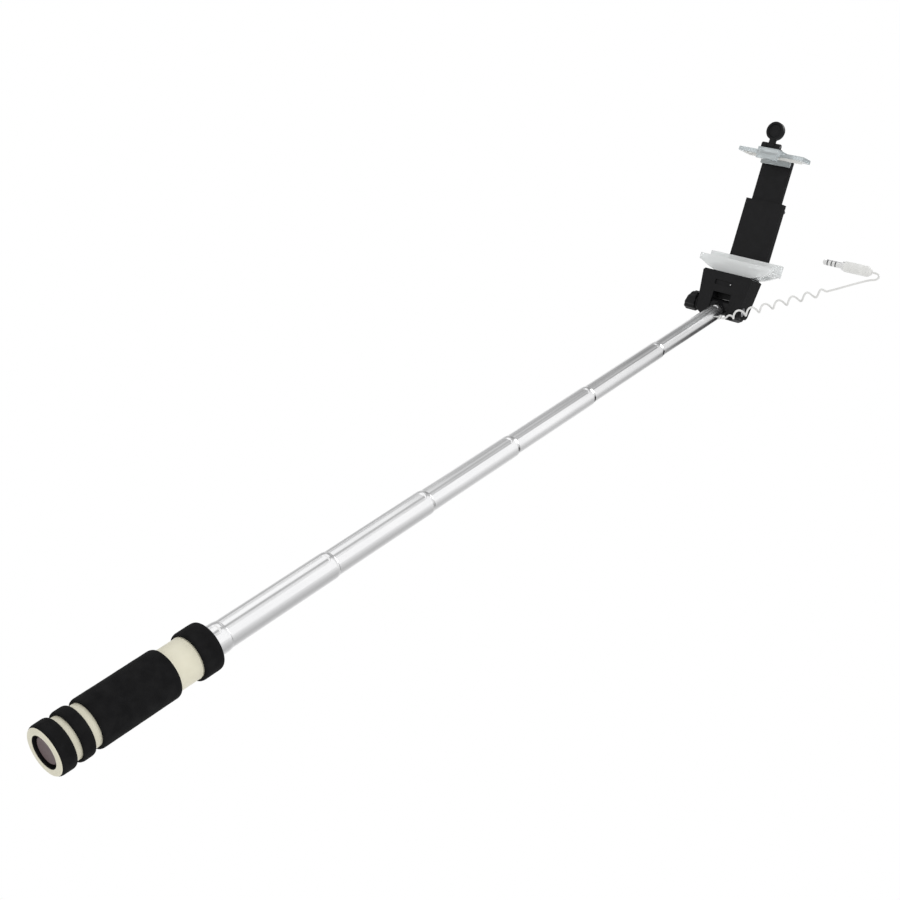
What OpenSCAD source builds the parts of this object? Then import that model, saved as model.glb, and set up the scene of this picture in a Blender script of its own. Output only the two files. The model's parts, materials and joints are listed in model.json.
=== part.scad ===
// Hand-held telescopic pole with a tilting spring clamp for a phone and a
// coiled jack lead.  Millimetres, +Z up the pole towards the head, origin on
// the pole's axis at the middle of the main foam grip.

/* [Handle] */
// Outside diameter of the cream core tube
core_d = 20.8; // [20:0.1:22]
// Bore of the core tube
core_bore = 17; // [16.2:0.1:17]
// Outside diameter of the foam sleeves
foam_d = 24.2; // [23:0.1:27]
// Length of the main foam grip
grip_len = 41.9; // [40:0.1:60]
// Length of the foam ring at the end of the handle
end_ring_len = 7.3; // [6:0.1:10]
// Length of the second foam ring
second_ring_len = 6.3; // [6:0.1:10]
// Bare core between the end ring and the second ring
end_gap = 3.1; // [1:0.1:4]
// Bare core between the second ring and the main grip
ring_gap = 3.7; // [1:0.1:4]
// Bare core between the main grip and the collar
neck_gap = 13; // [10:0.1:14]
// Length of the foam collar
collar_len = 11; // [10:0.1:12]
// Diameter of the lip round the end of the handle
lip_d = 22.8; // [21:0.1:23]
// Diameter of the shutter button
button_d = 13.6; // [11:0.1:14]
// Travel of the shutter button
button_travel = 0.8; // [0.4:0.1:1]

/* [Pole] */
// Number of sliding sections
section_count = 6; // [6]
// Length of each sliding section that shows when it is pulled out
section_len = 68; // [60:1:72]
// Height of the fixed tube's rim above the middle of the grip
first_rim_z = 54; // [52:0.5:58]
// Outside diameter of the fixed tube
tube_d = 15.2; // [15:0.1:15.4]
// How much smaller each tube is than the one around it
tube_step = 0.94; // [0.9:0.01:0.96]
// Wall of each tube
tube_wall = 0.3; // [0.28:0.01:0.32]
// Length of each section that stays inside the one around it
overlap = 10.5; // [10:0.1:12]
// Length of the last section from the rim around it to the tilt hinge
last_len = 70; // [68:0.5:76]

/* [Head] */
// Angle of the head from straight in line with the pole
head_tilt = 60; // [40:1:75]
// Gap between the jaws, the width of the phone they hold
jaw_gap = 67; // [60:0.5:75]
// Half length of the lower jaw
lower_half = 25.4; // [25:0.1:28]
// Half length of the upper jaw
upper_half = 22.2; // [22:0.1:24]
// Diameter of the thumb knob
knob_d = 12.4; // [10:0.2:13]
// Diameter of the disc on the flip lever
disc_d = 11.2; // [10:0.2:12]

/* [Lead] */
// Diameter of the lead
cord_d = 1.2; // [1:0.1:1.6]
// Outside diameter of the coiled lead beside the head
coil_d = 5.3; // [5:0.1:6]
// Outside diameter of the coiled lead inside the tubes
inner_coil_d = 5.2; // [4.5:0.1:5.4]

/* [Hidden] */
$fn = 64;
eps = 0.01;

// Handle, lowest to highest
grip_z = -grip_len/2;
second_ring_z = grip_z - ring_gap - second_ring_len;
end_ring_z = second_ring_z - end_gap - end_ring_len;
lip_t = 0.8;                 // lip that the end ring's foam rests against
end_z = end_ring_z - lip_t;
collar_z = grip_len/2 + neck_gap;
collar_top = collar_z + collar_len;
core_top = collar_top - 0.5;
foam_round = 0.8;            // rounding of the foam's outer edges
rim_t = 2.6;                 // thickness of the rim that holds the button in
hole_d = 15.7;                // hole in the rim, round the button
recess = 1.4;                // how far the button sits below the rim
flange_d = 16.5;             // button flange behind the rim
flange_t = 1.0;
flange_z = end_z + rim_t + 0.05;
stem_top = flange_z + flange_t + 2.4;
carrier_z = flange_z + flange_t + 2.8;
board_z = carrier_z + 3.7;
board_t = 1.2;
board_d = 15.6;
tube0_z = board_z + board_t + 1.4;

// Pole
rim_t0 = 2.2;                // length of the necked rim of each tube
bush_t = 1.5;                // plate of the bush that closes a tube's foot
bush_bore = 6;
band_len = 8;                // sprung band round the foot of each tube
run_gap = 0.05;              // radial running clearance
hinge_z = first_rim_z + (section_count - 1)*section_len + last_len;
tip_gap = 5.5;               // end of the last tube below the hinge
exit_z = hinge_z - 9.5;      // hole that the lead comes out of
exit_turn = 22;              // its direction round the pole
function outer_d(k) = tube_d - k*tube_step;
function inner_d(k) = outer_d(k) - 2*tube_wall;
function rim_z(k) = first_rim_z + k*section_len;
function foot_z(k) = k == 0 ? tube0_z : rim_z(k - 1) - overlap;
function top_z(k) = k < section_count ? rim_z(k) : hinge_z - tip_gap;

// Head, in its own frame: X along the hinge, Y to the back, Z up the phone
seat_u = 28.5;               // where the phone's lower edge rests
upper_u = seat_u + jaw_gap;
pad_t = 1;
front_y = -5;                // front face of the head's body
split_y = 5.5;               // joint between the front and rear shells
back_y = 9;                  // back face of the rear shell's lower part
gap_half = 6.3;              // half the clevis gap
gap_top = 8.4;               // top of the clevis gap's front pocket
gap_web = 5;                 // top of the gap right through the body
pocket_y = 1.6;              // back of the front pocket
body_top = 21;
body_half_top = 17.3;
body_half_foot = 13.2;
body_foot = -6.8;
boss_half = 15.3;            // flat ends of the two hinge bosses
nut_x = 12.4;                // inner face of the nut
nut_t = 2.3;
knob_x = -15.7;              // face of the knob's neck against the washer
knob_len = 7.4;              // knob with its neck, along its axis
knob_slant = 18;             // lean of the knob's outer face, longest at the foot
screw_r = 1.5;
bore_r = 1.55;
channel_y = 14;              // front of the slide channel
slide_half = 10;
slide_low = 40;              // foot of the slide in its channel
channel_low = 10.5;
channel_top = 70;
channel_half = 13;           // half width of the channel beside the slide
tail_half = 8.6;             // half width of its narrow foot, behind the body
tail_top = 24;
cover_screw_u = [28, 66];    // heights of the cover's screws
lever_u = upper_u + 6.5;     // axis of the flip lever
lever_y = 2;
anchor_u = 14.2;             // lower spring posts
spring_x = 5;
spring_y = 16.4;
hook_u = slide_low + 1.6;    // posts on the foot of the slide

// The jack lead's route beside the head
lead_start = [5.7, 2.3, 454.5];
coil_route = [[11, -0.6, 454.5], [20, -4.6, 455.2], [28, -8, 457], [35, -11, 459],
              [42, -14, 461.2], [49, -17, 463.6], [55, -19.4, 466.2], [61, -21.6, 469.4],
              [67, -23.4, 473]];
tail_route = [[67, -23.4, 473], [70.5, -24.5, 475.6], [74, -25.7, 478.3], [77.5, -26.9, 480.9],
              [81, -28.1, 483.2], [84, -29.1, 485], [85.6, -29.6, 485.8], [87, -29.9, 486.2],
              [88.3, -30.1, 486.6], [89.2, -30.5, 487.4], [89.6, -31.1, 488.5], [89.2, -31.7, 489.6],
              [88.3, -32.1, 490.5], [87, -32.3, 490.8], [84, -32.3, 490.8]];
plug_axis = [84, -32.3, 490.8];
plug_len = 17.4;
plug_d = 6.4;
jack_len = 14;
jack_d = 3.5;

// ---- Shared shapes ----

// Ring about Z from inner radius a to outer radius b, with round outer edges
module soft_ring(a, b, h, r) {
    rotate_extrude() {
        translate([a, 0]) square([b - a - r, h]);
        translate([a, r]) square([b - a, h - 2*r]);
        for (y = [r, h - r]) translate([b - r, y]) circle(r);
    }
}

module ring(a, b, h) {
    difference() {
        cylinder(r = b, h = h);
        translate([0, 0, -1]) cylinder(r = a, h = h + 2);
    }
}

// Place children in the head's frame
module in_head() {
    translate([0, 0, hinge_z]) rotate([head_tilt, 0, 0]) children();
}

// Cylinder along X from x0 to x1 in the head's frame
module rod_x(x0, x1, r) {
    translate([x0, 0, 0]) rotate([0, 90, 0]) cylinder(r = r, h = x1 - x0);
}

// Cylinder along Y from y0 to y1
module rod_y(y0, y1, r) {
    translate([0, y0, 0]) rotate([-90, 0, 0]) cylinder(r = r, h = y1 - y0);
}

// Box from one corner to the other
module box(a, b) {
    translate(a) cube(b - a);
}

// Flat outline in X and Z, thickened from y0 to y1
module slab(y0, y1) {
    translate([0, y1, 0]) rotate([90, 0, 0]) linear_extrude(y1 - y0) children();
}

// Closed coil spring about Z: a tube whose wall waves once a turn
module wave_tube(r, wire, h) {
    turns = floor(h/wire);
    wave = [for (i = [0 : 4*turns])
        [r + wire/2*abs(sin(i*45)), i*h/(4*turns)]];
    rotate_extrude() polygon(concat([[r - wire/2, h], [r - wire/2, 0]], wave));
}

// Tube along a route of points, with a ring of side_n corners at each point
function dir(p, i) =
    let (d = p[min(i + 1, len(p) - 1)] - p[max(i - 1, 0)]) d/norm(d);
function across(d) = let (c = cross(d, [0, 1, 0.3])) c/norm(c);
module sweep_tube(route, r, side_n) {
    rings = [for (i = [0 : len(route) - 1])
        let (d = dir(route, i), u = across(d), v = cross(d, u))
        [for (j = [0 : side_n - 1])
            route[i] + r*(cos(360*j/side_n)*u + sin(360*j/side_n)*v)]];
    points = [for (g = rings) each g];
    last = (len(route) - 1)*side_n;
    sides = [for (i = [0 : len(route) - 2], j = [0 : side_n - 1])
        let (a = i*side_n + j, b = i*side_n + (j + 1) % side_n)
        [a, b, b + side_n, a + side_n]];
    ends = [[for (j = [0 : side_n - 1]) side_n - 1 - j],
            [for (j = [0 : side_n - 1]) last + j]];
    polyhedron(points = points, faces = concat(sides, ends));
}

// ---- Handle ----

module handle_core() color("ivory") {
    difference() {
        union() {
            translate([0, 0, end_z]) cylinder(d = core_d, h = core_top - end_z);
            translate([0, 0, end_z]) cylinder(d = lip_d, h = lip_t);
        }
        translate([0, 0, end_z + rim_t]) cylinder(d = core_bore, h = core_top - end_z);
        translate([0, 0, end_z - 1]) cylinder(d = hole_d, h = rim_t + 2);
    }
}

module foam_sleeve(z, len) color("#1c1c1e") {
    translate([0, 0, z]) soft_ring(core_d/2 + eps, foam_d/2, len, foam_round);
}

module end_ring_foam() foam_sleeve(end_ring_z, end_ring_len);
module second_ring_foam() foam_sleeve(second_ring_z, second_ring_len);
module grip_foam() foam_sleeve(grip_z, grip_len);
module collar_foam() foam_sleeve(collar_z, collar_len);

module shutter_button() color("#8d7f80") {
    translate([0, 0, end_z + recess]) cylinder(d = button_d, h = flange_z - end_z - recess + eps);
    translate([0, 0, flange_z]) cylinder(d = flange_d, h = flange_t);
    translate([0, 0, flange_z]) cylinder(d = 4, h = stem_top - flange_z);
}

module button_spring() color("silver") {
    translate([0, 0, flange_z + flange_t]) wave_tube(5.4, 0.7, carrier_z - flange_z - flange_t);
}

module switch_carrier() color("#26262a") {
    difference() {
        translate([0, 0, carrier_z]) cylinder(d = core_bore, h = board_z + board_t - carrier_z);
        translate([0, 0, carrier_z - 1]) cylinder(d = 9, h = 9);
        translate([0, 0, board_z]) cylinder(d = board_d, h = board_t + 1);
    }
}

module circuit_board() color("#1f6b3a") {
    difference() {
        translate([0, 0, board_z]) cylinder(d = board_d, h = board_t);
        for (a = [90, 270]) rotate([0, 0, a]) translate([5.4, 0, board_z - 1]) cylinder(d = 0.9, h = 4);
    }
}

module tact_switch() color("#303034") {
    box([-3, -3, board_z - 2.5], [3, 3, board_z]);
    translate([0, 0, stem_top + 0.1 + button_travel])
        cylinder(d = 3.4, h = board_z - 2.5 - stem_top - 0.1 - button_travel + eps);
}

module lower_ferrule() color("ivory") {
    translate([0, 0, tube0_z - 1.2]) difference() {
        cylinder(d = core_bore, h = 8);
        translate([0, 0, 1.2]) cylinder(d = tube_d, h = 8);
        translate([0, 0, -1]) cylinder(d = bush_bore, h = 4);
    }
}

module upper_ferrule() color("ivory") {
    translate([0, 0, core_top - 9]) ring(tube_d/2, core_bore/2, 9);
}

// ---- Pole ----

// One chromed tube, with a necked rim that guides the next one
module pole_tube(k) color("#d9dadd") {
    r = outer_d(k)/2;
    neck = k < section_count ? outer_d(k + 1)/2 + run_gap : inner_d(k)/2;
    z0 = foot_z(k);
    z1 = top_z(k);
    difference() {
        translate([0, 0, z0]) {
            cylinder(r = r, h = z1 - z0 - 0.8);
            translate([0, 0, z1 - z0 - 0.8]) cylinder(r1 = r, r2 = r - 0.12, h = 0.8);
        }
        translate([0, 0, z0 - 1]) cylinder(r = inner_d(k)/2, h = z1 - z0 + 1 - (k < section_count ? rim_t0 : 0));
        translate([0, 0, z1 - rim_t0 - 1]) cylinder(r = neck, h = rim_t0 + 2);
        if (k == section_count) exit_hole(1.2);
    }
}

// Round hole through the side of the last tube
module exit_hole(r) {
    translate([0, 0, exit_z]) rotate([0, 90, exit_turn]) translate([0, 0, 2]) cylinder(r = r, h = 6);
}

module tube_0() pole_tube(0);
module tube_1() pole_tube(1);
module tube_2() pole_tube(2);
module tube_3() pole_tube(3);
module tube_4() pole_tube(4);
module tube_5() pole_tube(5);
module tube_6() pole_tube(6);

// Nylon plate and sprung band at a tube's foot, sliding in the tube outside it
module foot_bush(k) color("#e8e4da") {
    outside = inner_d(k - 1)/2 - run_gap;
    z = foot_z(k);
    translate([0, 0, z - bush_t]) ring(bush_bore/2, outside, bush_t);
    translate([0, 0, z - eps]) ring(outer_d(k)/2, outside, band_len);
}

module bush_1() foot_bush(1);
module bush_2() foot_bush(2);
module bush_3() foot_bush(3);
module bush_4() foot_bush(4);
module bush_5() foot_bush(5);
module bush_6() foot_bush(6);

// Coiled lead from one foot bush to the next, a fat tube of the coil's size
module inner_lead(z0, z1) color("#f2f1ee") {
    translate([0, 0, z0]) ring(inner_coil_d/2 - cord_d, inner_coil_d/2, z1 - z0);
}

module lead_0() inner_lead(board_z + board_t, foot_z(1) - bush_t);
module lead_1() inner_lead(foot_z(1), foot_z(2) - bush_t);
module lead_2() inner_lead(foot_z(2), foot_z(3) - bush_t);
module lead_3() inner_lead(foot_z(3), foot_z(4) - bush_t);
module lead_4() inner_lead(foot_z(4), foot_z(5) - bush_t);
module lead_5() inner_lead(foot_z(5), foot_z(6) - bush_t);
module lead_6() inner_lead(foot_z(6), hinge_z - 14);

// Black eye that plugs the end of the last tube
module hinge_knuckle() color("#222225") {
    difference() {
        union() {
            translate([0, 0, hinge_z]) rod_x(-6.1, 6.1, 4.7);
            translate([0, 0, hinge_z - 14]) cylinder(r = inner_d(6)/2, h = 14);
        }
        translate([0, 0, hinge_z]) rod_x(-7, 7, bore_r);
        translate([0, 0, hinge_z - 15]) cylinder(d = bush_bore, h = 7);
        exit_hole(cord_d/2);
    }
}

module lead_grommet() color("#f2f1ee") {
    translate([0, 0, exit_z]) rotate([0, 90, exit_turn]) difference() {
        union() {
            translate([0, 0, outer_d(6)/2]) cylinder(r = 1.7, h = 0.8);
            translate([0, 0, inner_d(6)/2]) cylinder(r = 1.2, h = 0.6);
        }
        cylinder(r = cord_d/2, h = 9);
    }
}

// ---- Tilt hinge ----

module hinge_screw() color("silver") in_head() {
    rod_x(knob_x - knob_len + 0.9, nut_x + nut_t, screw_r);
}

module thumb_knob() color("#1b1b1d") in_head() difference() {
    union() {
        rod_x(knob_x - knob_len - 3, knob_x - 0.9, knob_d/2);
        rod_x(knob_x - 1, knob_x, knob_d/2 - 2);
    }
    translate([knob_x - knob_len, 0, 0]) rotate([0, knob_slant, 0]) box([-8, -10, -10], [0, 10, 10]);
    rod_x(knob_x - knob_len + 0.9, knob_x + 1, screw_r + eps);
    for (a = [0 : 36 : 359]) rotate([a, 0, 0]) translate([0, 0, knob_d/2 + 1])
        rod_x(knob_x - knob_len - 4, knob_x - 1.3, 1.6);
}

module hinge_nut() color("silver") in_head() difference() {
    translate([nut_x, 0, 0]) rotate([0, 90, 0]) rotate([0, 0, 30]) cylinder(d = 5.5/cos(30), h = nut_t, $fn = 6);
    rod_x(nut_x - 1, nut_x + nut_t + 1, screw_r + 0.03);
}

module knob_washer() color("silver") in_head() difference() {
    rod_x(knob_x, -boss_half, 2.9);
    rod_x(knob_x - 1, 1 - boss_half, bore_r);
}

// ---- Head body ----

// Front outline of the body: a trapezoid narrowing to two round-cornered ears
module body_outline(inset) {
    polygon([[-body_half_top + inset, body_top - 1.2], [-body_half_top + inset + 1.2, body_top - inset],
             [body_half_top - inset - 1.2, body_top - inset], [body_half_top - inset, body_top - 1.2],
             [body_half_foot + 1.4 - inset, -2.6], [body_half_foot - inset, body_foot + 1.4 + inset],
             [body_half_foot - 2.4 - inset, body_foot + inset], [2.4 + inset - body_half_foot, body_foot + inset],
             [inset - body_half_foot, body_foot + 1.4 + inset], [inset - 1.4 - body_half_foot, -2.6]]);
}

module hinge_bosses(r) {
    rod_x(-boss_half, -gap_half, r);
    rod_x(gap_half, boss_half, r);
}

module front_shell() color("#222225") in_head() difference() {
    union() {
        slab(front_y, split_y) body_outline(0);
        hinge_bosses(4.6);
    }
    // Clevis gap, open at the front, the foot and the back
    box([-gap_half, front_y - 1, body_foot - 1], [gap_half, split_y + 1, gap_web]);
    box([-gap_half, front_y - 1, 0], [gap_half, pocket_y, gap_top]);
    // Hollow behind the front face, and the mouth for the lower jaw's tongue
    box([-13, -3, 10.2], [13, split_y + 1, 19.2]);
    box([-8.6, 1.7, 19], [8.6, split_y + 1, body_top + 1]);
    // Shallow panel in the front face
    box([-7, front_y - 1, 12.8], [5, front_y + 0.8, 15.8]);
    // Hinge bore, and the pocket that holds the nut
    rod_x(-20, 20, bore_r);
    translate([nut_x - 0.1, 0, 0]) rotate([0, 90, 0]) rotate([0, 0, 30]) cylinder(d = 5.6/cos(30), h = 4, $fn = 6);
    // Holes for the shell screws
    for (x = [-11, 11]) translate([x, 0, 4.2]) rod_y(-1, split_y + 1, 1);
}

module rear_shell() color("#222225") in_head() difference() {
    union() {
        slab(split_y, back_y) body_outline(0.6);
        box([-tail_half, back_y - eps, channel_low], [tail_half, channel_y + eps, 19]);
        box([-tail_half, channel_y, channel_low], [tail_half, 18, tail_top + eps]);
        box([-channel_half, channel_y, tail_top], [channel_half, 18, channel_top]);
    }
    // Clevis gap
    box([-gap_half, split_y - 1, body_foot - 1], [gap_half, back_y + 1, gap_web]);
    // Channel for the slide, open at the top and the back, with the springs' room below it
    box([-slide_half - 0.1, 15.3, tail_top + 1.5], [slide_half + 0.1, 19, channel_top + 1]);
    box([1.2 - tail_half, 15.3, channel_low + 1.5], [tail_half - 1.2, 19, tail_top + 2]);
    // Clears the rear corners of the ears as the head swings back
    box([-20, split_y - 1, body_foot - 1], [20, back_y + 1, -4]);
    for (x = [-11, 11]) translate([x, 0, 4.2]) {
        rod_y(split_y - 1, back_y + 1, 1.2);
        rod_y(back_y - 1.4, back_y + 1, 2.1);
    }
    for (x = [-11.6, 11.6], u = cover_screw_u) translate([x, 0, u]) rod_y(15, 19, 0.7);
}

module slide_cover() color("#2a2a2d") in_head() difference() {
    box([-tail_half, 18, channel_low], [tail_half, 19.5, tail_top + eps]);
    box([-channel_half, 18, tail_top], [channel_half, 19.5, channel_top]);
    for (x = [-11.6, 11.6], u = cover_screw_u) translate([x, 0, u]) {
        rod_y(17, 20, 0.8);
        rod_y(19, 20, 1.35);
    }
}

// Cross-headed screw along Y, head at the back
module small_screw(y0, y1, r, head_r, head_t) {
    difference() {
        union() {
            rod_y(y0, y1, r);
            rod_y(y1 - head_t, y1, head_r);
        }
        for (a = [0, 90]) rotate([0, a, 0])
            box([-head_r*0.7, y1 - head_t*0.6, -head_r*0.14], [head_r*0.7, y1 + 1, head_r*0.14]);
    }
}

module shell_screws() color("silver") in_head() {
    for (x = [-11, 11]) translate([x, 0, 4.2]) small_screw(0, back_y, 0.95, 2, 1.3);
}

module cover_screws() color("silver") in_head() {
    for (x = [-11.6, 11.6], u = cover_screw_u) translate([x, 0, u]) small_screw(15.2, 19.5, 0.65, 1.3, 0.5);
}

// ---- Clamp ----

// Underside of the lower jaw: a shallow arc between the jaw's two ends
module jaw_crescent() {
    rise = 7.3;
    arc_r = (lower_half*lower_half + rise*rise)/(2*rise);
    intersection() {
        translate([0, seat_u - 1.7 - rise + arc_r]) circle(arc_r, $fn = 180);
        translate([-lower_half, body_top + 0.05]) square([2*lower_half, seat_u - pad_t - body_top - 0.05]);
    }
}

module lower_jaw() color([0.93, 0.95, 0.96, 0.75]) in_head() {
    floor_u = seat_u - pad_t;
    slab(0.5, 2.5) jaw_crescent();
    slab(11.5, channel_y) jaw_crescent();
    box([-lower_half, 0.5, floor_u - 1.6], [lower_half, channel_y, floor_u]);
    for (x = [-22.6, -15, -7, 7, 15, 22.6]) intersection() {
        slab(0.5, channel_y) jaw_crescent();
        box([x - 0.6, 0.5, 10], [x + 0.6, channel_y, 30]);
    }
    // Lip in front of the phone's edge, and the rest behind it
    box([-lower_half, 0.5, floor_u - eps], [lower_half, 1.9, floor_u + 2.5]);
    box([-lower_half, 12.6, floor_u - eps], [lower_half, channel_y, floor_u + 6]);
    // Tongue held in the body
    box([-8.4, 1.8, 10.8], [8.4, 5.4, floor_u - 1]);
}

module lower_pad() color("#e9e9e6") in_head() {
    box([-21, 3, seat_u - pad_t], [21, 12, seat_u]);
}

module upper_jaw() color([0.9, 0.93, 0.94, 0.6]) in_head() {
    bar_u = upper_u + pad_t;
    box([-upper_half, 3.6, bar_u], [upper_half, channel_y, bar_u + 2.5]);
    box([-7, -0.6, bar_u], [7, channel_y, bar_u + 3.7]);
    // Clear lip that hangs over the phone's edge
    box([-7, -0.6, upper_u - 2.2], [7, 1.8, bar_u + eps]);
    difference() {
        box([-slide_half, 12.6, upper_u - 3], [slide_half, channel_y, bar_u + eps]);
        for (x = [-6, 6]) translate([x, 0, upper_u - 1]) rod_y(12.8, channel_y + 1, 0.95);
    }
}

module upper_pad() color("#e9e9e6") in_head() {
    box([-18.6, 4.4, upper_u], [18.6, 12, upper_u + pad_t]);
}

module jaw_slide() color("#2a2a2d") in_head() difference() {
    union() {
        box([-slide_half, 15.4, slide_low], [slide_half, 17.9, upper_u + 3.5]);
        box([-slide_half, channel_y, upper_u - 3], [slide_half, 15.5, upper_u + 3.5]);
    }
    for (x = [-6, 6]) translate([x, 0, upper_u - 1]) {
        rod_y(13, 19, 0.95);
        rod_y(16.8, 19, 1.6);
    }
    // Pockets round the posts that the springs' upper eyes hook over
    for (x = [-spring_x, spring_x]) difference() {
        box([x - 1.7, 15, slide_low - 1], [x + 1.7, spring_y + 1.1, hook_u + 1.7]);
        translate([x, 0, hook_u]) rod_y(14, 19, 0.6);
    }
}

module slide_screws() color("silver") in_head() {
    for (x = [-6, 6]) translate([x, 0, upper_u - 1]) small_screw(13, 17.9, 0.9, 1.5, 1);
}

// Two tension springs between the posts and the foot of the slide
module clamp_springs() color("silver") in_head() {
    coil_low = anchor_u + 1.2;
    coil_high = hook_u - 1.2;
    for (x = [-spring_x, spring_x]) translate([x, spring_y, 0]) {
        translate([0, 0, coil_low]) wave_tube(0.75, 0.5, coil_high - coil_low);
        for (u = [coil_low, coil_high - 0.4]) translate([0, 0, u]) cylinder(r = 0.7, h = 0.4);
        for (u = [anchor_u, hook_u]) translate([0, 0, u]) rotate([90, 0, 0])
            rotate_extrude() translate([1.1, 0]) circle(0.25);
    }
}

module spring_posts() color("silver") in_head() {
    for (x = [-spring_x, spring_x]) translate([x, 0, anchor_u]) rod_y(15.3, 17.8, 0.6);
}

// ---- Flip lever ----

module lever_saddle() color("#1b1b1d") in_head() {
    base_u = upper_u + pad_t + 3.7;
    difference() {
        union() for (s = [-1, 1]) {
            box([min(s*2.8, s*6.2), lever_y - 1.7, base_u], [max(s*2.8, s*6.2), lever_y + 1.7, lever_u]);
            translate([0, lever_y, lever_u]) rod_x(min(s*2.8, s*6.2), max(s*2.8, s*6.2), 1.7);
            box([min(s*2.8, s*6.2), lever_y - 1.7, base_u], [max(s*2.8, s*6.2), lever_y + 4, base_u + 0.7]);
        }
        translate([0, lever_y, lever_u]) rod_x(-7, 7, 0.8);
    }
    box([-6.2, lever_y + 2.4, base_u], [6.2, lever_y + 4, base_u + 0.7]);
}

module lever_pin() color("silver") in_head() {
    translate([0, lever_y, lever_u]) rod_x(-6, 6, 0.8);
}

module flip_lever() color("#1b1b1d") in_head() translate([0, lever_y, lever_u]) difference() {
    union() {
        rod_x(-2.6, 2.6, 1.7);
        box([-1.7, -1.5, 0], [1.7, 1.5, 5]);
        translate([0, 0, 9]) rod_y(-1.5, 1.5, disc_d/2);
    }
    translate([0, 0, 9]) rod_y(-2, -0.9, disc_d/2 - 1.5);
    rod_x(-7, 7, 0.85);
}

// ---- Jack lead ----

module cord_start() color("#f2f1ee") {
    sweep_tube([lead_start, [7.4, 1.9, 454.5], [9.2, 0.7, 454.5], coil_route[0]], cord_d/2, 8);
}

module cord_coil() color("#f2f1ee") sweep_tube(coil_route, coil_d/2, 12);
module cord_tail() color("#f2f1ee") sweep_tube(tail_route, cord_d/2, 8);

module plug_body() color("#f5f5f3") translate(plug_axis) {
    rod_x(-plug_len, -1.2, plug_d/2);
    rod_x(-1.2, 0, plug_d/2 - 0.9);
}

module jack_plug() color("silver") translate(plug_axis - [plug_len, 0, 0]) {
    rod_x(-1.2, 0, 2.6);
    rod_x(-jack_len, 0, jack_d/2);
}

handle_core();
end_ring_foam();
second_ring_foam();
grip_foam();
collar_foam();
shutter_button();
button_spring();
switch_carrier();
circuit_board();
tact_switch();
lower_ferrule();
upper_ferrule();
tube_0();
tube_1();
tube_2();
tube_3();
tube_4();
tube_5();
tube_6();
bush_1();
bush_2();
bush_3();
bush_4();
bush_5();
bush_6();
lead_0();
lead_1();
lead_2();
lead_3();
lead_4();
lead_5();
lead_6();
hinge_knuckle();
lead_grommet();
hinge_screw();
thumb_knob();
hinge_nut();
knob_washer();
front_shell();
rear_shell();
slide_cover();
shell_screws();
cover_screws();
lower_jaw();
lower_pad();
upper_jaw();
upper_pad();
jaw_slide();
slide_screws();
clamp_springs();
spring_posts();
lever_saddle();
flip_lever();
lever_pin();
cord_start();
cord_coil();
cord_tail();
plug_body();
jack_plug();
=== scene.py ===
"""Looks for a telescopic pole with a phone clamp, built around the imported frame.

Lengths in the script are millimetres and become metres when a mesh is made.  Pieces of the
phone holder are drawn in the holder's own frame: X along the hinge, Y to the back, Z up the phone.
"""

import json
import math

import bmesh
import bpy
from mathutils import Matrix, Vector, noise

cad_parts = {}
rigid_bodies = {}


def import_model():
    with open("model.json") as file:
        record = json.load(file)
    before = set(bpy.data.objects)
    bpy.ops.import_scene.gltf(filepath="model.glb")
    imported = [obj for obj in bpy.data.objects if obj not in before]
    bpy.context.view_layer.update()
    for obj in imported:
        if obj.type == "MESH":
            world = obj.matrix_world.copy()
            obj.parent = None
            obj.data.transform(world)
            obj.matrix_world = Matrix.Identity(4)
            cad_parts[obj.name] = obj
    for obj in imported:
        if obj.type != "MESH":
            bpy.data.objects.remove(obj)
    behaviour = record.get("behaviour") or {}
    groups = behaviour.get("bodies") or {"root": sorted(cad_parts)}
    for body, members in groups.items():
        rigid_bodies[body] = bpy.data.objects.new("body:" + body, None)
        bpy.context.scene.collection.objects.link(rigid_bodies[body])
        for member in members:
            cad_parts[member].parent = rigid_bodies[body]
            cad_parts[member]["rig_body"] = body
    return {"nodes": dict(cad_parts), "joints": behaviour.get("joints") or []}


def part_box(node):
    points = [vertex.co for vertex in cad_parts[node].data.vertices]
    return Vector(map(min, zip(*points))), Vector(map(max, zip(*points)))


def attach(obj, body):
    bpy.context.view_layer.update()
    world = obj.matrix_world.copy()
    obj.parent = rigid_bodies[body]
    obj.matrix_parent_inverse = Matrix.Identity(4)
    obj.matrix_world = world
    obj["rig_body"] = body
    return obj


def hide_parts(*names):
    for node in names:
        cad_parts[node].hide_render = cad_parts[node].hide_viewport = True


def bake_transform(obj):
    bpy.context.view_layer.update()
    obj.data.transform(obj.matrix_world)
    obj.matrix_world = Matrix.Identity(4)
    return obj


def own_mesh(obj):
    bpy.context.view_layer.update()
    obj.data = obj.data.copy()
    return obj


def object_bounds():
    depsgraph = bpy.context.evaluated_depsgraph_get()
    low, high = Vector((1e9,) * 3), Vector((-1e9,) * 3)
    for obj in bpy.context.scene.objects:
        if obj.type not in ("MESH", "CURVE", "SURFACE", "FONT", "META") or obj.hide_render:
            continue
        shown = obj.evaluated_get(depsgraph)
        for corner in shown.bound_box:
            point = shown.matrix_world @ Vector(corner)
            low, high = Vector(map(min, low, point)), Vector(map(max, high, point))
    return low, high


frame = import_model()
CAD_LOW, CAD_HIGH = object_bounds()

MM = 0.001
SECTIONS = 6
JOINTS = {joint["name"]: joint for joint in frame["joints"]}
HINGE = Vector(JOINTS["head_tilt"]["pos_m"])
UP_PHONE = Vector(JOINTS["jaw_slide_out"]["axis"])
HEAD_TILT = math.atan2(-UP_PHONE.y, UP_PHONE.z)
IN_ROW = Matrix.Scale(MM, 4)
IN_HEAD = Matrix.Translation(HINGE) @ Matrix.Rotation(HEAD_TILT, 4, "X") @ IN_ROW
ALONG_X = Matrix.Rotation(math.radians(90), 4, "Y")
ALONG_Y = Matrix.Rotation(math.radians(-90), 4, "X")


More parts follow.
